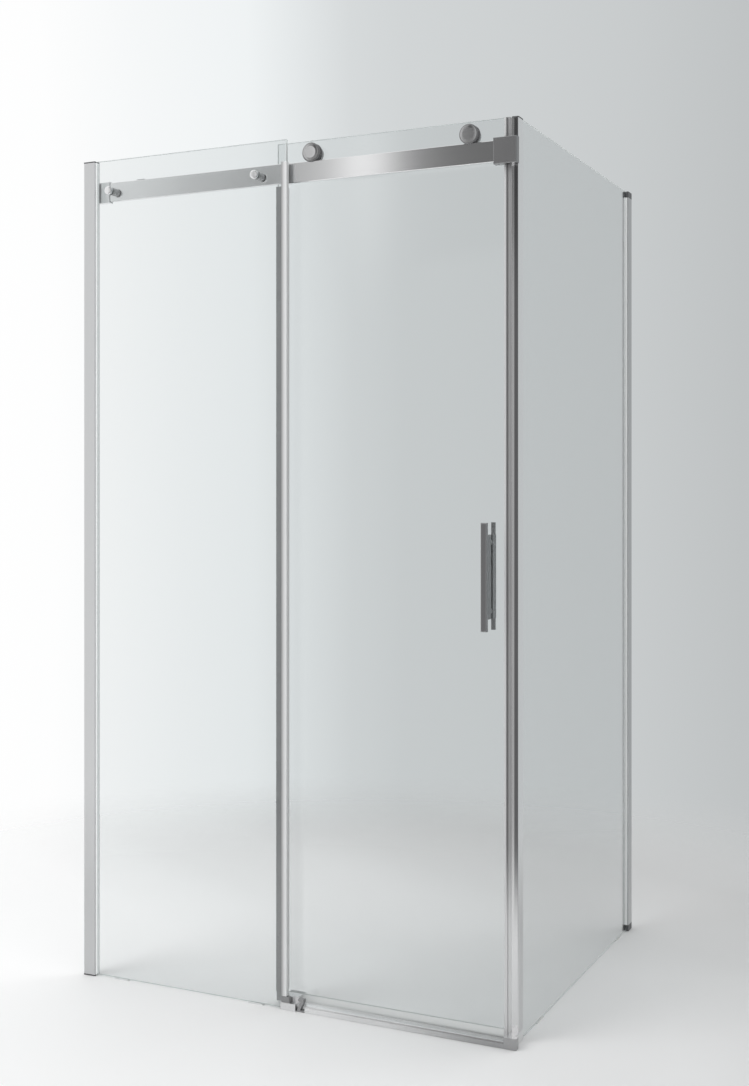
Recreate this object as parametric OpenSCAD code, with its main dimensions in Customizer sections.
// Corner shower enclosure: fixed front pane, sliding door on two rollers, return pane.
// X runs along the front from the left wall to the free corner, Y from the front to the
// back wall, Z up. The origin is on the floor, in the middle of the enclosure's outline.

/* [Enclosure] */
// Width from the left wall to the outside of the corner foot
width = 1100; // [1100:10:1400]
// Depth from the back wall to the front of the rail's bolt heads
depth = 900; // [700:10:1200]
// Height of the panes above the floor
height = 1950; // [1800:10:2200]
// Distance that the door travels between closed and open
door_travel = 440; // [300:5:440]

/* [Glass] */
// Thickness of the three panes
glass_t = 8; // [6:0.5:10]
// Width of the ground arris on the edges of the panes
arris = 1; // [0.5:0.1:1.5]
// Reach of the fixed pane's free edge from the left wall
fixed_reach = 553; // [500:1:570]
// Overlap of the closed door behind the fixed pane
door_overlap = 41; // [36:1:60]
// Length of a setting block under a pane
block_len = 40; // [20:1:80]
// Distance of the setting blocks from the ends of the panes
block_inset = 60; // [30:5:120]
// Gap under the fixed and the return pane
pane_floor_gap = 3; // [2:0.5:6]
// Gap under the door pane
door_floor_gap = 14; // [12:0.5:20]

/* [Wall profiles] */
// Distance that a wall profile stands out from the wall
profile_reach = 32; // [28:1:45]
// Thickness of a wall profile across the glass
profile_d = 22; // [20:0.5:28]
// Wall of the glass channel
channel_wall = 1.5; // [1.2:0.1:2]
// Wall and base of the wall channel
wall_channel_t = 1.8; // [1.5:0.1:2.2]
// Free fit between the two channels on each side
channel_fit = 0.3; // [0.2:0.1:0.4]
// Thickness of a glazing gasket beside the glass
gasket_t = 2.7; // [2.2:0.1:2.8]
// Thickness of the front profile's end caps and of the corner post's cap
cap_t = 3; // [2:0.5:4]
// Height of the return profile's end caps
return_cap_h = 16; // [3:1:24]
// Radius of the screw holes towards the wall
wall_hole_r = 2.5; // [2:0.25:3]
// Distance of the end screw holes from the middle one
wall_hole_pitch = 800; // [600:10:850]
// Height of the lowest side screw
side_screw_low = 120; // [60:10:300]
// Distance of the highest side screw from the top
side_screw_drop = 200; // [100:10:400]

/* [Rail] */
// Height of the rail
rail_h = 45; // [35:1:60]
// Thickness of the rail
rail_t = 10; // [8:0.5:12]
// Drop of the rail's top edge below the top of the glass
rail_drop = 50; // [45:1:70]
// Gap between fixed pane and rail
rail_standoff = 12; // [10:0.5:20]
// Gap between rail and door pane
door_rail_gap = 6; // [6:0.5:10]
// Distance of the first rail bolt from the left wall
rail_bolt_inset = 70; // [66:1:110]
// Distance of the second rail bolt from the fixed pane's free edge
rail_bolt_edge_inset = 81; // [60:1:110]
// Radius of the rail bolts' heads
rail_head_r = 10; // [8:0.5:14]
// Height of the rail bolts' heads, with their washer
rail_head_proud = 8; // [6:0.5:12]
// Radius of the rail bolts' shanks
rail_bolt_r = 4; // [3:0.5:4]

/* [Rollers] */
// Diameter of a roller wheel over its flanges
wheel_d = 43; // [42:1:52]
// Depth of the groove that straddles the rail
groove_depth = 2.5; // [2.5:0.5:5]
// Width of a flange beside the groove
flange_w = 2.5; // [2:0.1:2.6]
// Inset of the roller from the door's trailing edge
trailing_inset = 94; // [80:1:140]
// Inset of the roller from the door's leading edge
leading_inset = 80; // [80:1:140]
// Offset of the eccentric bush, for levelling the door
eccentric_offset = 1.5; // [0.5:0.25:2]
// Outer diameter of the roller's ball bearing
bearing_od = 22; // [21:0.5:22]
// Inner diameter of the roller's ball bearing
bearing_id = 8; // [7:0.5:8]
// Width of the roller's ball bearing
bearing_w = 7; // [6:0.5:8]
// Diameter of a bearing ball
ball_d = 4; // [3:0.25:4]
// Number of balls in a bearing
ball_count = 7; // [6:1:8]

/* [Handle] */
// Length of the handle
handle_len = 230; // [180:5:400]
// Width of the handle's body and of its outer bar
handle_w = 14; // [13:1:20]
// Thickness of the handle's bar
handle_t = 8; // [6:1:10]
// Depth of the handle's body between bar and glass
handle_body_d = 20; // [14:1:28]
// Width of the inner handle's bar
handle_inner_w = 8; // [6:1:14]
// Overhang of the bar past the body at each end
handle_overhang = 26; // [10:1:40]
// Height of the handle's middle above the floor
handle_height = 980; // [850:10:1150]
// Inset of the handle's middle from the door's leading edge
handle_inset = 42; // [32:1:50]

/* [Seals] */
// Wall of the clip-on seals
seal_t = 1.2; // [1:0.1:1.4]
// Length of a seal's leg on the glass
seal_leg = 12; // [10:0.5:14]
// Length of the legs of the clip on the door's leading edge
lead_leg = 6; // [5:0.5:12]
// Gap under the seal on the door's trailing edge
trail_seal_gap = 4; // [3:0.5:8]
// Width of the magnets across the glass
magnet_w = 6.8; // [5:0.2:7]
// Thickness of the magnets
magnet_t = 2.4; // [1.8:0.2:2.6]

/* [Corner, threshold and guide] */
// Depth of the corner post over the return pane's edge
post_d = 28; // [24:1:36]
// Wall of the corner post beside the glass
post_wall = 1.5; // [1.5:0.1:2.5]
// Step from the corner foot's outer face to the post
foot_overhang = 7; // [2:0.5:8]
// Height of the corner foot
foot_h = 24; // [16:1:28]
// Height of the threshold
threshold_h = 15; // [12:1:15]
// Depth of the threshold
threshold_d = 30; // [24:1:31]
// Height of the floor guide
guide_h = 28; // [24:1:34]
// Height of the guide's jaw in front of the fixed pane
guide_jaw_h = 16; // [12:1:18]
// Length of the floor guide along the door
guide_len = 38; // [36:1:60]

/* [Hidden] */

$fn = 48;
// Small overlap of a cutting body past the face that it cuts
eps = 0.5;
// Sideways clearance of pieces that fit over the glass or into a pocket
fit = 0.3;
// Gap that stays between surfaces of a fixed and a moving piece
run_gap = 0.3;
// Clearance of a screw or stud in its own hole
thread_gap = 0.05;
// Thickness of the washers on the glass
washer_t = 1;

// Walls, and outer face of the fixed pane
x_wall = -width / 2;
x_corner = width / 2;
y_wall = depth / 2;
y_front = -depth / 2 + rail_head_proud;
// Front faces of the rail and of the door pane
y_rail = y_front + glass_t + rail_standoff;
y_rail_mid = y_rail + rail_t / 2;
y_door = y_rail + rail_t + door_rail_gap;
// Glass edge, web and lips inside a wall profile, from the wall
wall_channel_reach = profile_reach - 12;
web_u = wall_channel_reach + 0.5;
web_t = 2;
lip_u = web_u + web_t;
glass_u = lip_u + 2;
// Half widths of the channels about the middle of the glass
mid_v = glass_t / 2;
half_glass_channel = profile_d / 2;
half_wall_channel = half_glass_channel - channel_wall - channel_fit;
half_pocket = glass_t / 2 + gasket_t;
// Free edge of the fixed pane
x_fixed_edge = x_wall + fixed_reach;
// Corner post and return pane
post_liner = 0.5;
post_web = 3;
post_bevel = 2;
x_post_out = x_corner - foot_overhang;
x_return_out = x_post_out - post_wall - post_liner;
x_return_in = x_return_out - glass_t;
x_post_in = x_return_in - post_liner - post_wall;
post_front_gap = 2;
y_post = y_door - post_front_gap;
y_return_edge = y_post + post_web + 1.5;
// Magnet holders: track on the post, sleeves, and the closed gap between them
track_d = 3;
track_t = 1;
track_half = 6;
sleeve_t = 0.7;
sleeve_d = magnet_t + 0.2 + 2 * sleeve_t;
sleeve_half = magnet_w / 2 + 0.1 + sleeve_t + 0.8;
y_magnet = y_door + glass_t / 2;
x_post_sleeve = x_post_in - track_d - sleeve_d;
x_door_sleeve = x_post_sleeve - run_gap - sleeve_d;
seal_web = 1.5;
sleeve_bridge = 1.7;
// Edges of the door pane
x_door_lead = x_door_sleeve - sleeve_bridge - seal_web;
x_door_trail = x_fixed_edge - door_overlap;
// Arms of the two overlapping edge seals
arm_gap = 0.5;
arm_glass_gap = 3;
x_door_arm = x_door_trail + seal_leg - seal_t;
x_fixed_arm = x_fixed_edge - seal_leg;
// Rail and wheels
z_rail_top = height - rail_drop;
z_rail_mid = z_rail_top - rail_h / 2;
z_rail_bottom = z_rail_top - rail_h;
wheel_r = wheel_d / 2;
run_r = wheel_r - groove_depth;
z_wheel = z_rail_top + run_r + run_gap;
x_rollers = [x_door_trail + trailing_inset, x_door_lead - leading_inset];
wheel_half = rail_t / 2 + 0.3 + flange_w;
bearing_half = bearing_w / 2;
bearing_or = bearing_od / 2;
bearing_ir = bearing_id / 2;
ball_pitch_r = (bearing_or + bearing_ir) / 2;
ball_play = 0.25;
race_t = (bearing_or - bearing_ir) / 2 - ball_d / 2 + 0.5;
bearing_seat_gap = 0.03;
hub_wall = 4;
tyre_bore_r = bearing_or + hub_wall;
axle_flange_t = 1.8;
axle_flange_r = 13;
axle_shank_r = 4;
inner_cap_r = 17;
inner_cap_h = 9;
inner_washer_r = 15;
axle_end = 6;
// Corner block and wall socket of the rail
block_w = 52;
block_overhang = 1.5;
block_margin = 5.5;
block_front_wall = 3;
block_end = 14;
x_block = x_post_out + block_overhang - block_w;
x_rail_end = x_post_out - block_end - fit;
socket_len = 59;
socket_wall = 2.4;
socket_base = 3;
x_rail_start = x_wall + socket_base + 1;
rail_bolt_x = [x_wall + rail_bolt_inset, x_fixed_edge - rail_bolt_edge_inset];
// Opening stop, behind the rail
stop_rise = 4;
stop_t = 4;
stop_len = 18;
stop_pad_t = 3;
stop_drop = 32;
stop_reach = sqrt(pow(wheel_r, 2) - pow(z_wheel - z_rail_top - stop_rise, 2));
x_stop = x_rollers[0] - door_travel - stop_reach - run_gap;
z_stop_low = z_rail_top - stop_drop;
// Guide and threshold
guide_base_t = 5;
guide_jaw = 3;
liner_t = 1.5;
sweep_clear = 0.6;
x_guide = x_fixed_edge - 13;
y_slot_front = y_door - seal_t - sweep_clear;
y_slot_back = y_door + glass_t + seal_t + sweep_clear;
retainer_t = 3;
threshold_gap = 22;
x_threshold = x_guide + guide_len + threshold_gap;
foot_w = 28;
foot_front_d = 14;
x_foot = x_corner - foot_w;
y_foot_front_end = y_front + threshold_d + 3;
// Heights at which edge seals start and end
seal_end_gap = 2;
arm_end_gap = 6;
arm_rail_gap = 8;
z_seal_low = guide_h + seal_end_gap;
z_arm_low = guide_h + arm_end_gap;
z_arm_high = z_rail_bottom - arm_rail_gap;
// Heights of the side screws of the wall profiles
side_screw_z = [side_screw_low, height / 2, height - side_screw_drop];
side_screw_u = wall_channel_reach / 2 + 1;
side_screw_r = 1.9;
side_screw_len = 6;
side_screw_head_r = 3.5;
side_screw_head_h = 2.2;

// Colours of the materials
glass_tint = [0.80, 0.88, 0.86, 0.35];
aluminium = [0.78, 0.79, 0.80];
steel = [0.62, 0.63, 0.65];
dark_steel = [0.42, 0.43, 0.45];
clear_plastic = [0.80, 0.83, 0.84, 0.7];
grey_plastic = [0.45, 0.46, 0.48];
dark_plastic = [0.16, 0.16, 0.17];
white_plastic = [0.90, 0.90, 0.88];

// Box between two opposite corners
module box(low, high) {
    translate(low) cube(high - low);
}

// Cylinder along +Y from y0 to y1
module rod_y(x, z, y0, y1, r) {
    translate([x, y0, z]) rotate([-90, 0, 0]) cylinder(r = r, h = y1 - y0);
}

// Washer along +Y from y0 to y1
module ring_y(x, z, y0, y1, r_out, r_in) {
    difference() {
        rod_y(x, z, y0, y1, r_out);
        rod_y(x, z, y0 - eps, y1 + eps, r_in);
    }
}

// Solid of revolution about a line along Y; a point is [radius, distance along +Y]
module turned_y(x, y, z, points) {
    translate([x, y, z]) rotate([-90, 0, 0]) rotate_extrude($fn = 72) polygon(points);
}

// Rectangle with bevelled corners
function bevelled(w, t, c) = [
    [c, 0], [w - c, 0], [w, c], [w, t - c], [w - c, t], [c, t], [0, t - c], [0, c]
];

// Upright plate of width w along X, thickness t along Y and height h, with bevelled edges
module plate(w, t, h, c) {
    intersection() {
        linear_extrude(h) polygon(bevelled(w, t, c));
        rotate([90, 0, 90]) linear_extrude(w) polygon(bevelled(t, h, c));
    }
}

// Places a profile drawn from the wall (first axis) and across the glass (second axis)
module at_front() {
    translate([x_wall, y_front, 0]) children();
}

module at_return() {
    translate([x_return_out, y_wall, 0]) rotate([0, 0, -90]) mirror([0, 1, 0]) children();
}

// Both sides of a section about the middle of the glass
module both_sides() {
    children();
    translate([0, glass_t]) mirror([0, 1]) children();
}

// Wall channel between end caps of height cap_h: base with screw holes, and two legs
module wall_channel(cap_h) {
    difference() {
        translate([0, 0, cap_h]) linear_extrude(height - 2 * cap_h) difference() {
            translate([0, mid_v - half_wall_channel])
                square([wall_channel_reach, 2 * half_wall_channel]);
            translate([wall_channel_t, mid_v - half_wall_channel + wall_channel_t])
                square([wall_channel_reach, 2 * (half_wall_channel - wall_channel_t)]);
        }
        for (k = [-1:1])
            translate([-eps, mid_v, height / 2 + k * wall_hole_pitch]) rotate([0, 90, 0])
                cylinder(r = wall_hole_r, h = wall_channel_t + 2 * eps);
        side_screw_holes(side_screw_r + thread_gap);
    }
}

// Holes for the side screws, on the inner side of a profile
module side_screw_holes(r) {
    for (z = side_screw_z)
        rod_y(side_screw_u, z, mid_v + half_wall_channel - wall_channel_t - eps,
            mid_v + half_glass_channel + eps, r);
}

// Glass channel: visible legs, a web, and two lips that hold the gaskets
module glass_channel(cap_h) {
    difference() {
        translate([0, 0, cap_h]) linear_extrude(height - 2 * cap_h) difference() {
            union() {
                both_sides() {
                    translate([1, mid_v - half_glass_channel])
                        square([profile_reach - 1, channel_wall]);
                    translate([lip_u, mid_v - half_glass_channel])
                        square([profile_reach - lip_u, half_glass_channel - half_pocket]);
                }
                translate([web_u, mid_v - half_glass_channel])
                    square([web_t, profile_d]);
            }
            both_sides()
                translate([glass_u + 3, mid_v - half_pocket - 1.2]) square([2, 1.2 + eps]);
        }
        side_screw_holes(side_screw_r + 0.2);
    }
}

// Pair of gaskets, each with a root in the lip's groove and a soft edge at the mouth
module glazing_gaskets(cap_h) {
    v = mid_v - half_pocket;
    translate([0, 0, cap_h]) linear_extrude(height - 2 * cap_h) both_sides() polygon([
        [glass_u + 0.5, v], [glass_u + 3.2, v], [glass_u + 3.2, v - 1],
        [glass_u + 4.8, v - 1], [glass_u + 4.8, v], [profile_reach, v],
        [profile_reach + 1.8, v + 1.2], [profile_reach + 1.8, 0], [glass_u + 0.5, 0]
    ]);
}

// End cap of height cap_h, with a notch for the pane and a plug in the wall channel
module end_cap(cap_h) {
    plug_u = wall_channel_t + fit;
    plug_half = half_wall_channel - wall_channel_t - fit;
    linear_extrude(cap_h) difference() {
        translate([0, mid_v - half_glass_channel]) square([profile_reach, profile_d]);
        translate([glass_u - fit, -fit]) square([profile_reach, glass_t + 2 * fit]);
    }
    translate([plug_u, mid_v - plug_half, cap_h])
        cube([wall_channel_reach - plug_u - 1, 2 * plug_half, 8]);
}

// End caps at the floor and at the top of one profile
module profile_caps(cap_h) {
    end_cap(cap_h);
    translate([0, 0, height]) mirror([0, 0, 1]) end_cap(cap_h);
}

// Side screws of one profile, with pan heads on the inner side
module profile_screws() {
    face = mid_v + half_glass_channel;
    for (z = side_screw_z) {
        rod_y(side_screw_u, z, face - side_screw_len, face, side_screw_r);
        turned_y(side_screw_u, face, z, [
            [0, 0], [side_screw_head_r, 0], [side_screw_head_r, side_screw_head_h * 0.45],
            [side_screw_head_r * 0.7, side_screw_head_h], [0, side_screw_head_h]
        ]);
    }
}

module front_wall_channel() {
    color(aluminium) at_front() wall_channel(cap_t);
}

module front_glass_channel() {
    color(aluminium) at_front() glass_channel(cap_t);
}

module front_glazing_gaskets() {
    color(clear_plastic) at_front() glazing_gaskets(cap_t);
}

module return_wall_channel() {
    color(aluminium) at_return() wall_channel(return_cap_h);
}

module return_glass_channel() {
    color(aluminium) at_return() glass_channel(return_cap_h);
}

module return_glazing_gaskets() {
    color(clear_plastic) at_return() glazing_gaskets(return_cap_h);
}

module channel_end_caps() {
    color(grey_plastic) {
        at_front() profile_caps(cap_t);
        at_return() profile_caps(return_cap_h);
    }
}

module channel_screws() {
    color(steel) {
        at_front() profile_screws();
        at_return() profile_screws();
    }
}

// Fixed pane, with two holes for the rail bolts
module fixed_glass() {
    x = x_wall + glass_u;
    color(glass_tint) difference() {
        translate([x, y_front, pane_floor_gap])
            plate(x_fixed_edge - x, glass_t, height - pane_floor_gap, arris);
        for (bolt_x = rail_bolt_x)
            rod_y(bolt_x, z_rail_mid, y_front - eps, y_front + glass_t + eps, rail_hole_r);
    }
}

// Radius of the rail bolts' holes in the glass
rail_hole_r = rail_bolt_r + 3;

// Return pane, from the corner post to the profile on the back wall
module return_glass() {
    length = y_wall - glass_u - y_return_edge;
    color(glass_tint) translate([x_return_out, y_return_edge, pane_floor_gap])
        rotate([0, 0, 90]) plate(length, glass_t, height - pane_floor_gap, arris);
}

// Blocks that carry the fixed and the return pane on the floor
module setting_blocks() {
    reach = block_inset + block_len;
    color(clear_plastic) {
        for (x = [x_wall + glass_u + block_inset, x_fixed_edge - reach])
            box([x, y_front, 0], [x + block_len, y_front + glass_t, pane_floor_gap]);
        for (y = [y_return_edge + 2 * block_inset, y_wall - glass_u - reach])
            box([x_return_in, y, 0], [x_return_out, y + block_len, pane_floor_gap]);
    }
}

// Seal on the free edge of the fixed pane, with an arm towards the door
module fixed_edge_seal() {
    tip_y = y_door - arm_glass_gap;
    color(grey_plastic) {
        translate([0, 0, z_seal_low]) linear_extrude(z_rail_top - z_seal_low)
            edge_clip_2d(x_fixed_edge, y_front, 1, seal_leg);
        translate([0, 0, z_arm_low]) linear_extrude(z_arm_high - z_arm_low) {
            translate([x_fixed_arm, y_front + glass_t + seal_t])
                square([seal_t, tip_y - y_front - glass_t - seal_t]);
            translate([x_door_arm + seal_t + arm_gap, tip_y - seal_t])
                square([x_fixed_arm + seal_t - x_door_arm - seal_t - arm_gap, seal_t]);
        }
    }
}

// Section of a seal clipped over a pane's edge; side is 1 for a right and -1 for a left edge
module edge_clip_2d(edge_x, face_y, side, leg) {
    translate([edge_x, face_y]) mirror([side < 0 ? 1 : 0, 0]) {
        translate([-leg, -seal_t]) square([leg + seal_web, seal_t]);
        translate([-leg, glass_t]) square([leg + seal_web, seal_t]);
        translate([0, -seal_t]) square([seal_web, glass_t + 2 * seal_t]);
    }
}

// Front of the post's section, depth d deep, with a bevelled outer corner
module post_front_2d(d) {
    polygon([
        [x_post_in, y_post], [x_post_out - post_bevel, y_post],
        [x_post_out, y_post + post_bevel], [x_post_out, y_post + d], [x_post_in, y_post + d]
    ]);
}

// Corner post: channel over the return pane's edge, with a track for the magnet holder
module corner_post() {
    track_lip = 2;
    color(steel) difference() {
        translate([0, 0, foot_h]) linear_extrude(height - cap_t - foot_h) {
            post_front_2d(post_web);
            translate([x_post_in, y_post]) square([post_wall, post_d]);
            translate([x_post_out - post_wall, y_post + post_bevel])
                square([post_wall, post_d - post_bevel]);
            for (s = [0, 1])
                translate([x_post_in - track_d, y_magnet]) mirror([0, s]) {
                    translate([0, track_half - track_t]) square([track_d, track_t]);
                    translate([0, track_half - track_t - track_lip])
                        square([track_t, track_lip]);
                }
        }
        for (z = block_screw_z) {
            rod_y(x_block_screw, z, y_post - eps, y_post + post_web + eps, 2.5 + fit);
            translate([x_block_screw, y_post + post_web - 2.4, z]) rotate([-90, 0, 0])
                cylinder(r1 = 2.8, r2 = 5.2, h = 2.4 + 0.01);
        }
    }
}

// Screws that hold the rail's corner block on the post
x_block_screw = (x_post_in + x_post_out) / 2;
block_screw_z = [z_rail_mid - 14, z_rail_mid + 14];
block_screw_r = 2.5;
block_screw_len = 12;

module corner_post_cap() {
    color(dark_plastic) translate([0, 0, height - cap_t]) linear_extrude(cap_t) difference() {
        union() {
            post_front_2d(post_d);
            translate([x_post_in - track_d, y_magnet - track_half])
                square([track_d + eps, 2 * track_half]);
        }
        translate([x_return_in - fit, y_return_edge - fit])
            square([glass_t + 2 * fit, post_d]);
    }
}

// Liner between the corner post and the pane that it is bonded to
module post_glass_liner() {
    color(clear_plastic) translate([0, 0, foot_h]) linear_extrude(height - cap_t - foot_h)
        difference() {
            translate([x_post_in + post_wall, y_post + post_web])
                square([x_post_out - x_post_in - 2 * post_wall, post_d - post_web]);
            translate([x_return_in, y_return_edge]) square([glass_t, post_d]);
        }
}

// Sleeve that holds a magnet; its low corner is at x
module magnet_sleeve_2d(x) {
    difference() {
        translate([x, y_magnet - sleeve_half]) square([sleeve_d, 2 * sleeve_half]);
        translate([x + sleeve_t, y_magnet - magnet_w / 2 - 0.1])
            square([magnet_t + 0.2, magnet_w + 0.2]);
    }
}

// Magnet strip inside a sleeve whose low corner is at x
module magnet_strip(x, z0) {
    translate([x + sleeve_t + 0.1, y_magnet - magnet_w / 2, z0])
        cube([magnet_t, magnet_w, height - cap_t - z0]);
}

// Holder on the post: a sleeve with a foot in the post's track
module post_magnet_holder() {
    foot_half = track_half - track_t - 0.2;
    neck_half = track_half - track_t - 2 - 0.2;
    color(clear_plastic) translate([0, 0, foot_h])
        linear_extrude(height - cap_t - foot_h) {
            magnet_sleeve_2d(x_post_sleeve);
            translate([x_post_in - track_d, y_magnet - neck_half])
                square([track_d - 0.2, 2 * neck_half]);
            translate([x_post_in - track_d + track_t + 0.1, y_magnet - foot_half])
                square([track_d - track_t - 0.3, 2 * foot_half]);
        }
}

module post_magnet() {
    color(dark_plastic) magnet_strip(x_post_sleeve, foot_h);
}

// Foot under the post, with a slot for the pane and the seat of the threshold
module corner_foot() {
    slot_y = y_return_edge - fit;
    bevel = 2;
    color(steel) difference() {
        linear_extrude(foot_h) polygon([
            [x_foot, y_front], [x_corner - bevel, y_front], [x_corner, y_front + bevel],
            [x_corner, y_front + foot_front_d], [x_post_out, y_front + foot_front_d],
            [x_post_out, y_post + post_d], [x_post_in - track_d, y_post + post_d],
            [x_post_in - track_d, y_foot_front_end], [x_foot, y_foot_front_end]
        ]);
        box([x_return_in - fit, slot_y, pane_floor_gap],
            [x_return_out + fit, y_post + post_d + eps, foot_h + eps]);
    }
}

// Low threshold across the doorway: a hollow section with a sloping front
module threshold() {
    h = threshold_h;
    d = threshold_d;
    wall = 2;
    color(steel) translate([x_threshold, y_front, 0]) rotate([90, 0, 90])
        linear_extrude(x_foot - x_threshold) difference() {
            polygon([[0, 0], [0, h - 5], [1.5, h - 1.5], [5, h], [d - 6, h], [d, h - 5], [d, 0]]);
            polygon([
                [wall, -eps], [wall, h - 5.5], [5.5, h - wall], [d - 6.5, h - wall],
                [d - wall, h - 6], [d - wall, -eps]
            ]);
        }
}

// Left end of the threshold: a base, a leaning stem and a hook at its top
module threshold_end_piece() {
    w = threshold_gap - 2;
    top = threshold_h + 13;
    color(dark_plastic) translate([x_threshold - w, y_front + 12, 0]) rotate([90, 0, 0])
        linear_extrude(12) polygon([
            [0, 0], [w, 0], [w, 3], [8, 3], [w - 3, top - 6], [w - 3, top], [3, top],
            [3, top - 4], [w - 10, top - 4], [0, 3]
        ]);
}

// Rail: flat bar with eased edges, tapped for the bolts, the stop and the block
module rail() {
    color(steel) difference() {
        translate([x_rail_start, y_rail, z_rail_bottom])
            plate(x_rail_end - x_rail_start, rail_t, rail_h, 1);
        for (x = rail_bolt_x)
            rod_y(x, z_rail_mid, y_rail - eps, y_rail + rail_t + eps, rail_bolt_r + thread_gap);
        for (x = stop_screw_x)
            rod_y(x, stop_screw_z, y_rail + rail_t - 7, y_rail + rail_t + eps, 2 + thread_gap);
    }
}

// Socket on the left wall that takes the rail's end
module rail_wall_socket() {
    low = [x_wall, y_rail - fit - socket_wall, z_rail_bottom - fit - socket_wall];
    depth_y = rail_t + 2 * (fit + socket_wall);
    tall = rail_h + 2 * (fit + socket_wall);
    color(steel) difference() {
        translate(low) plate(socket_len, depth_y, tall, 1);
        box([x_wall + socket_base, y_rail - fit, z_rail_bottom - fit],
            [x_wall + socket_len + eps, y_rail + rail_t + fit, z_rail_top + fit]);
        translate([x_wall - eps, y_rail_mid, z_rail_mid]) rotate([0, 90, 0])
            cylinder(r = wall_hole_r, h = socket_base + 2 * eps);
    }
}

// Block that takes the rail's other end and is screwed to the corner post
module rail_corner_block() {
    y0 = y_rail - block_front_wall;
    tall = rail_h + 2 * block_margin;
    color(dark_steel) difference() {
        translate([x_block, y0, z_rail_bottom - block_margin])
            plate(block_w, y_post - y0, tall, 1.2);
        box([x_block - eps, y_rail - fit, z_rail_bottom - fit],
            [x_rail_end + fit, y_rail + rail_t + fit, z_rail_top + fit]);
        for (z = block_screw_z)
            rod_y(x_block_screw, z, y_post - block_screw_len - 0.5, y_post + eps,
                block_screw_r + thread_gap);
        translate([grub_x, y_rail_mid, z_rail_bottom - block_margin - eps])
            cylinder(r = 2.5 + thread_gap, h = block_margin + eps + 0.01);
    }
}

// Place of the grub screw that clamps the rail in the corner block
grub_x = x_block + 12;

// Two countersunk screws through the post's web, and the grub screw under the rail
module rail_block_screws() {
    head_h = 2.3;
    color(steel) {
        for (z = block_screw_z) {
            rod_y(x_block_screw, z, y_post - block_screw_len, y_post + post_web - head_h,
                block_screw_r);
            translate([x_block_screw, y_post + post_web - head_h, z]) rotate([-90, 0, 0])
                cylinder(r1 = block_screw_r, r2 = 5, h = head_h);
        }
        translate([grub_x, y_rail_mid, z_rail_bottom - block_margin + 0.5])
            cylinder(r = 2.5, h = block_margin - 0.5);
    }
}

// Bolts from the outside of the fixed pane into the rail, with domed heads
module rail_bolts() {
    r = rail_head_r;
    h = rail_head_proud - washer_t;
    color(steel) for (x = rail_bolt_x) {
        turned_y(x, y_front - rail_head_proud, z_rail_mid,
            [[0, 0], [r - 2.5, 0], [r - 0.8, 0.8], [r, 2.6], [r, h], [0, h]]);
        rod_y(x, z_rail_mid, y_front - washer_t, y_rail + rail_t - 1, rail_bolt_r);
    }
}

// Posts between the fixed pane and the rail
module rail_posts() {
    color(steel) for (x = rail_bolt_x)
        ring_y(x, z_rail_mid, y_front + glass_t + washer_t, y_rail, rail_head_r - 1,
            rail_bolt_r + 0.2);
}

// Top-hat bushes on both faces of the fixed pane
module rail_glass_bushes() {
    color(clear_plastic) for (x = rail_bolt_x) {
        bush(x, z_rail_mid, y_front, 1, rail_head_r - 1, rail_bolt_r, rail_hole_r);
        bush(x, z_rail_mid, y_front + glass_t, -1, rail_head_r - 1, rail_bolt_r, rail_hole_r);
    }
}

// Washer against a glass face with a sleeve in the hole; inward is +1 or -1 along Y
module bush(x, z, face_y, inward, flange_r, shank_r, hole_r) {
    sleeve = 3.5;
    bore = shank_r + 0.2;
    translate([x, face_y, z]) mirror([0, inward < 0 ? 1 : 0, 0]) difference() {
        union() {
            rod_y(0, 0, -washer_t, 0, flange_r);
            rod_y(0, 0, -washer_t, sleeve, hole_r - 0.2);
        }
        rod_y(0, 0, -washer_t - eps, sleeve + eps, bore);
    }
}

// Screws of the opening stop
stop_screw_x = [x_stop - stop_pad_t - stop_len / 2 - 5, x_stop - stop_pad_t - stop_len / 2 + 5];
stop_screw_z = z_stop_low + 14;

// Opening stop on the back of the rail, which meets the rear flange of the left wheel
module rail_stop() {
    y0 = y_rail + rail_t;
    color(dark_steel) difference() {
        box([x_stop - stop_pad_t - stop_len, y0, z_stop_low],
            [x_stop - stop_pad_t, y0 + stop_t, z_rail_top + stop_rise]);
        for (x = stop_screw_x) {
            rod_y(x, stop_screw_z, y0 - eps, y0 + stop_t + eps, 2.2);
            translate([x, y0 + stop_t - 2.2, stop_screw_z]) rotate([-90, 0, 0])
                cylinder(r1 = 2.2, r2 = 4.2, h = 2.2 + 0.01);
        }
    }
}

module rail_stop_pad() {
    y0 = y_rail + rail_t;
    color(dark_plastic) box([x_stop - stop_pad_t, y0, z_rail_top - 10],
        [x_stop, y0 + stop_t, z_rail_top + stop_rise]);
}

module rail_stop_screws() {
    y0 = y_rail + rail_t;
    color(steel) for (x = stop_screw_x) {
        rod_y(x, stop_screw_z, y0 - 6, y0 + stop_t - 2, 2);
        translate([x, y0 + stop_t - 2.1, stop_screw_z]) rotate([-90, 0, 0])
            cylinder(r1 = 2, r2 = 4, h = 2);
    }
}

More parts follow.
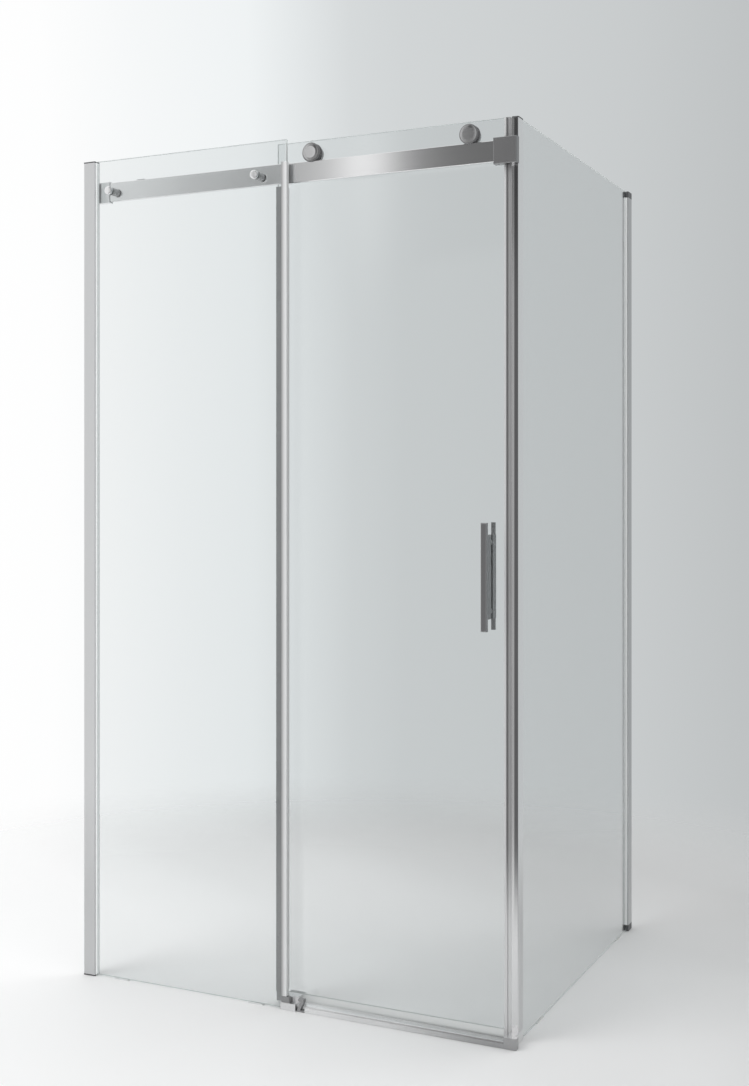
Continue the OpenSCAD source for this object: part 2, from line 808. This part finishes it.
// Floor guide: holds the fixed pane's lower corner, and one side of the door's slot
module guide_block() {
    y0 = y_front - guide_jaw;
    y_liner = y_slot_front - liner_t;
    y_pocket = y_front + glass_t + 0.1;
    bevel = 3;
    color(steel) difference() {
        translate([x_guide, 0, 0]) rotate([90, 0, 90]) linear_extrude(guide_len) polygon([
            [y0, 0], [y_slot_back + liner_t, 0], [y_slot_back + liner_t, guide_base_t],
            [y_liner, guide_base_t], [y_liner, guide_h], [y0 + bevel, guide_h],
            [y0, guide_h - bevel]
        ]);
        box([x_guide - eps, y_front - 0.1, pane_floor_gap],
            [x_fixed_edge + 0.1, y_pocket, guide_h + eps]);
        box([x_guide - eps, y0 - eps, guide_jaw_h],
            [x_guide + guide_len + eps, y_pocket, guide_h + eps]);
        box([x_fixed_edge + 14, y0 - eps, guide_jaw_h],
            [x_guide + guide_len + eps, y_pocket + 4, guide_h + eps]);
        for (x = guide_screw_x)
            rod_y(x, guide_screw_z, y_slot_back + liner_t - 9, y_slot_back + liner_t + eps,
                1.25 + thread_gap);
    }
}

guide_screw_inset = 9;
guide_screw_x = [x_guide + guide_screw_inset, x_guide + guide_len - guide_screw_inset];
guide_screw_z = guide_base_t / 2;

// Inner side of the door's slot, which comes off to lift the door out
module guide_retainer() {
    y0 = y_slot_back + liner_t;
    color(dark_steel) difference() {
        translate([x_guide, y0, 0]) plate(guide_len, retainer_t, guide_h, 0.8);
        for (x = guide_screw_x) {
            rod_y(x, guide_screw_z, y0 - eps, y0 + retainer_t + eps, 1.45);
            translate([x, y0 + retainer_t - 1.4, guide_screw_z]) rotate([-90, 0, 0])
                cylinder(r1 = 1.45, r2 = 2.3, h = 1.4 + 0.01);
        }
    }
}

// Slide liners on both sides of the slot, and the clip around the fixed pane's corner
module guide_liners() {
    color(dark_plastic) {
        translate([0, 0, guide_jaw_h]) linear_extrude(guide_h + 1 - guide_jaw_h) polygon([
            [x_guide + 2, y_front - 1.6], [x_fixed_edge + 9, y_front - 1.6],
            [x_fixed_edge + 9, y_front + glass_t], [x_fixed_edge + 0.1, y_front + glass_t],
            [x_fixed_edge + 0.1, y_front - 0.1], [x_guide + 2, y_front - 0.1]
        ]);
        box([x_guide, y_slot_front - liner_t, guide_base_t],
            [x_guide + guide_len, y_slot_front, guide_h - 1]);
        box([x_guide, y_slot_back, guide_base_t],
            [x_guide + guide_len, y_slot_back + liner_t, guide_h - 1]);
    }
}

module guide_screws() {
    y1 = y_slot_back + liner_t + retainer_t;
    color(steel) for (x = guide_screw_x) {
        rod_y(x, guide_screw_z, y1 - retainer_t - 8, y1 - 1.2, 1.25);
        translate([x, y1 - 1.4, guide_screw_z]) rotate([-90, 0, 0])
            cylinder(r1 = 1.25, r2 = 2.15, h = 1.4);
    }
}

// Heights of the handle's fixings, and their radii
handle_low = handle_height - handle_len / 2;
handle_bolt_inset = handle_overhang + 16;
handle_bolt_z = [handle_low + handle_bolt_inset, handle_low + handle_len - handle_bolt_inset];
handle_x = x_door_lead - handle_inset;
handle_stud_r = 3;
handle_hole_r = 6;
roller_hole_r = 9;

// Door pane, with holes for the eccentric bushes and the handle
module door_glass() {
    y0 = y_door - eps;
    y1 = y_door + glass_t + eps;
    color(glass_tint) difference() {
        translate([x_door_trail, y_door, door_floor_gap])
            plate(x_door_lead - x_door_trail, glass_t, height - door_floor_gap, arris);
        for (x = x_rollers) rod_y(x, z_wheel - eccentric_offset, y0, y1, roller_hole_r);
        for (z = handle_bolt_z) rod_y(handle_x, z, y0, y1, handle_hole_r);
    }
}

// Seal on the door's trailing edge, whose arm interlocks with the fixed pane's seal
module door_trailing_seal() {
    tip_y = y_front + glass_t + arm_glass_gap;
    color(dark_plastic) {
        translate([0, 0, trail_seal_gap]) linear_extrude(z_arm_high - trail_seal_gap)
            edge_clip_2d(x_door_trail, y_door, -1, seal_leg);
        translate([0, 0, z_arm_low]) linear_extrude(z_arm_high - z_arm_low) {
            translate([x_door_arm, tip_y]) square([seal_t, y_door - seal_t - tip_y]);
            translate([x_door_arm, tip_y])
                square([x_fixed_arm - arm_gap - x_door_arm, seal_t]);
        }
    }
}

// Clip and sleeve on the door's leading edge
module door_magnet_holder() {
    bridge_half = 2;
    color(grey_plastic) translate([0, 0, door_floor_gap])
        linear_extrude(height - door_floor_gap) {
            edge_clip_2d(x_door_lead, y_door, 1, lead_leg);
            translate([x_door_lead + seal_web, y_magnet - bridge_half])
                square([sleeve_bridge, 2 * bridge_half]);
            magnet_sleeve_2d(x_door_sleeve);
        }
}

module door_magnet() {
    color(dark_plastic) magnet_strip(x_door_sleeve, door_floor_gap);
}

// Sweep under the door: clip over the lower edge, with two drip lips
module door_bottom_sweep() {
    x0 = x_door_trail + seal_leg + fit;
    x1 = x_door_lead - lead_leg - fit;
    z_web = door_floor_gap - seal_web;
    z_lip = guide_base_t + 2;
    z_leg = door_floor_gap + seal_leg;
    back = glass_t + seal_t;
    color(clear_plastic) translate([x0, y_door, 0]) rotate([90, 0, 90])
        linear_extrude(x1 - x0) polygon([
            [-seal_t, z_web], [1, z_web], [1, z_lip], [1 + seal_t, z_lip], [1 + seal_t, z_web],
            [glass_t - 2, z_web], [glass_t - 0.4, z_lip], [glass_t + 0.8, z_lip],
            [glass_t - 0.8, z_web], [back, z_web], [back, z_leg], [glass_t, z_leg],
            [glass_t, door_floor_gap], [0, door_floor_gap], [0, z_leg], [-seal_t, z_leg]
        ]);
}

// One half of the handle: a bar of width bar_w with free ends and the body behind it, drawn
// from the bar's outer face to the face on the glass
module handle_half(bar_w) {
    deep = handle_t + handle_body_d;
    r = 3;
    difference() {
        union() {
            intersection() {
                translate([-bar_w / 2, 0, 0]) rotate([90, 0, 90]) linear_extrude(bar_w) {
                    translate([r, 0]) square([handle_t - r, handle_len]);
                    translate([0, r]) square([r + eps, handle_len - 2 * r]);
                    for (z = [r, handle_len - r]) translate([r, z]) circle(r);
                }
                linear_extrude(handle_len) union() {
                    translate([-bar_w / 2, 2]) square([bar_w, handle_t]);
                    translate([2 - bar_w / 2, 0]) square([bar_w - 4, handle_t]);
                    for (s = [-1, 1]) translate([s * (bar_w / 2 - 2), 2]) circle(2);
                }
            }
            box([-handle_w / 2, handle_t - 1, handle_overhang],
                [handle_w / 2, deep, handle_len - handle_overhang]);
        }
        for (z = [handle_bolt_inset, handle_len - handle_bolt_inset])
            rod_y(0, z, deep - handle_bore, deep + eps, handle_stud_r + thread_gap);
    }
}

// Depth of the stud holes in a handle half
handle_bore = handle_body_d - 2;

module handle_outer() {
    y0 = y_door - washer_t - handle_body_d - handle_t;
    color(dark_steel) translate([handle_x, y0, handle_low]) handle_half(handle_w);
}

module handle_inner() {
    y0 = y_door + glass_t + washer_t + handle_body_d + handle_t;
    color(dark_steel) translate([handle_x, y0, handle_low]) mirror([0, 1, 0])
        handle_half(handle_inner_w);
}

module handle_studs() {
    reach = washer_t + handle_bore - 0.5;
    color(steel) for (z = handle_bolt_z)
        rod_y(handle_x, z, y_door - reach, y_door + glass_t + reach, handle_stud_r);
}

module handle_bushes() {
    flange_r = handle_w / 2 - 0.5;
    color(clear_plastic) for (z = handle_bolt_z) {
        bush(handle_x, z, y_door, 1, flange_r, handle_stud_r, handle_hole_r);
        bush(handle_x, z, y_door + glass_t, -1, flange_r, handle_stud_r, handle_hole_r);
    }
}

// Axle: spindle for the bearing, shoulder, flange, and a shank through the glass
module roller_axle(x) {
    flange_y = y_door - washer_t - axle_flange_t;
    shoulder_r = bearing_ir + 1.5;
    shank_end = y_door + glass_t + washer_t + axle_end;
    color(steel) difference() {
        union() {
            rod_y(x, z_wheel, y_rail_mid - bearing_half, flange_y,
                bearing_ir - bearing_seat_gap);
            rod_y(x, z_wheel, y_rail_mid + bearing_half, flange_y, shoulder_r);
            rod_y(x, z_wheel, flange_y, flange_y + axle_flange_t, axle_flange_r);
            rod_y(x, z_wheel, flange_y + axle_flange_t, shank_end, axle_shank_r);
        }
        rod_y(x, z_wheel, y_rail_mid - bearing_half - eps, y_rail_mid + bearing_half + 2,
            2 + thread_gap);
    }
}

module roller_axles() {
    for (x = x_rollers) roller_axle(x);
}

// Screws that hold the inner races on the axles
module roller_retaining_screws() {
    y0 = y_rail_mid - bearing_half;
    color(steel) for (x = x_rollers) {
        turned_y(x, y0 - 2, z_wheel, [[0, 0], [4.6, 0], [5.4, 0.8], [5.4, 2], [0, 2]]);
        rod_y(x, z_wheel, y0, y0 + bearing_w + 1, 2);
    }
}

// Half section of a bearing race, cut by the balls' track
module race_section(r_in, r_out) {
    difference() {
        translate([r_in, -bearing_half]) square([r_out - r_in, bearing_w]);
        translate([ball_pitch_r, 0]) circle(ball_d / 2 + ball_play);
    }
}

// Race about a line along Y
module race(x, r_in, r_out) {
    translate([x, y_rail_mid, z_wheel]) rotate([-90, 0, 0]) rotate_extrude($fn = 72)
        race_section(r_in, r_out);
}

module roller_inner_races() {
    color(steel) for (x = x_rollers) race(x, bearing_ir, bearing_ir + race_t);
}

// Eccentric bushes in the door pane
module roller_eccentrics() {
    color(white_plastic) for (x = x_rollers) difference() {
        rod_y(x, z_wheel - eccentric_offset, y_door, y_door + glass_t, roller_hole_r - 0.2);
        rod_y(x, z_wheel, y_door - eps, y_door + glass_t + eps, axle_shank_r + 0.1);
    }
}

module roller_glass_washers() {
    color(clear_plastic) for (x = x_rollers) {
        ring_y(x, z_wheel, y_door - washer_t, y_door, axle_flange_r, axle_shank_r + 0.2);
        ring_y(x, z_wheel, y_door + glass_t, y_door + glass_t + washer_t, inner_washer_r,
            axle_shank_r + 0.2);
    }
}

// Domed caps on the inner side of the door, screwed on the axles
module roller_inner_caps() {
    r = inner_cap_r;
    h = inner_cap_h;
    y0 = y_door + glass_t + washer_t;
    bore = axle_shank_r + thread_gap;
    color(steel) for (x = x_rollers) turned_y(x, y0, z_wheel, [
        [bore, 0], [r, 0], [r, h - 3], [r - 0.8, h - 1], [r - 3, h], [0, h],
        [0, axle_end + 0.5], [bore, axle_end + 0.5]
    ]);
}

// Grooved tyre of a wheel
module tyre(x) {
    w = wheel_half;
    groove = rail_t / 2 + 0.3;
    flare = groove + 0.7;
    color(dark_plastic) turned_y(x, y_rail_mid, z_wheel, [
        [tyre_bore_r, -w], [wheel_r - 0.8, -w], [wheel_r, -w + 0.6], [wheel_r, -flare],
        [run_r, -groove], [run_r, groove], [wheel_r, flare], [wheel_r, w - 0.6],
        [wheel_r - 0.8, w], [tyre_bore_r, w]
    ]);
}

// Hub with the bearing's seat, open to the front, and a shoulder at the back
module hub(x) {
    w = wheel_half;
    shoulder_r = bearing_or - 1.2;
    color(steel) turned_y(x, y_rail_mid, z_wheel, [
        [bearing_or, -w], [tyre_bore_r, -w], [tyre_bore_r, w], [shoulder_r, w],
        [shoulder_r, bearing_half], [bearing_or, bearing_half]
    ]);
}

// Front cap of a wheel, with a plug in the hub's bore
module wheel_cap(x) {
    w = wheel_half;
    rim = wheel_r - 1.5;
    plug_r = bearing_or - 0.05;
    plug_end = -bearing_half - 0.5;
    color(steel) turned_y(x, y_rail_mid, z_wheel, [
        [0, -w - 2.6], [rim * 0.66, -w - 2.6], [rim - 1.6, -w - 1.8], [rim, -w - 0.8],
        [rim, -w], [plug_r, -w], [plug_r, plug_end], [plug_r - 1.9, plug_end],
        [plug_r - 1.9, -w - 0.6], [0, -w - 0.6]
    ]);
}

module outer_race(x) {
    color(steel) race(x, bearing_or - race_t, bearing_or - bearing_seat_gap);
}

module balls(x) {
    color(steel) translate([x, y_rail_mid, z_wheel])
        for (k = [0:ball_count - 1]) rotate([0, k * 360 / ball_count, 0])
            translate([ball_pitch_r, 0, 0]) sphere(d = ball_d, $fn = 24);
}

module left_wheel_tyre() {
    tyre(x_rollers[0]);
}

module left_wheel_hub() {
    hub(x_rollers[0]);
}

module left_wheel_cap() {
    wheel_cap(x_rollers[0]);
}

module left_outer_race() {
    outer_race(x_rollers[0]);
}

module left_balls() {
    balls(x_rollers[0]);
}

module right_wheel_tyre() {
    tyre(x_rollers[1]);
}

module right_wheel_hub() {
    hub(x_rollers[1]);
}

module right_wheel_cap() {
    wheel_cap(x_rollers[1]);
}

module right_outer_race() {
    outer_race(x_rollers[1]);
}

module right_balls() {
    balls(x_rollers[1]);
}

front_wall_channel();
front_glass_channel();
front_glazing_gaskets();
return_wall_channel();
return_glass_channel();
return_glazing_gaskets();
channel_end_caps();
channel_screws();
fixed_glass();
return_glass();
setting_blocks();
fixed_edge_seal();
corner_post();
corner_post_cap();
post_glass_liner();
post_magnet_holder();
post_magnet();
corner_foot();
threshold();
threshold_end_piece();
rail();
rail_wall_socket();
rail_corner_block();
rail_block_screws();
rail_bolts();
rail_posts();
rail_glass_bushes();
rail_stop();
rail_stop_pad();
rail_stop_screws();
guide_block();
guide_retainer();
guide_liners();
guide_screws();
door_glass();
door_trailing_seal();
door_magnet_holder();
door_magnet();
door_bottom_sweep();
handle_outer();
handle_inner();
handle_studs();
handle_bushes();
roller_axles();
roller_retaining_screws();
roller_inner_races();
roller_eccentrics();
roller_glass_washers();
roller_inner_caps();
left_wheel_tyre();
left_wheel_hub();
left_wheel_cap();
left_outer_race();
left_balls();
right_wheel_tyre();
right_wheel_hub();
right_wheel_cap();
right_outer_race();
right_balls();
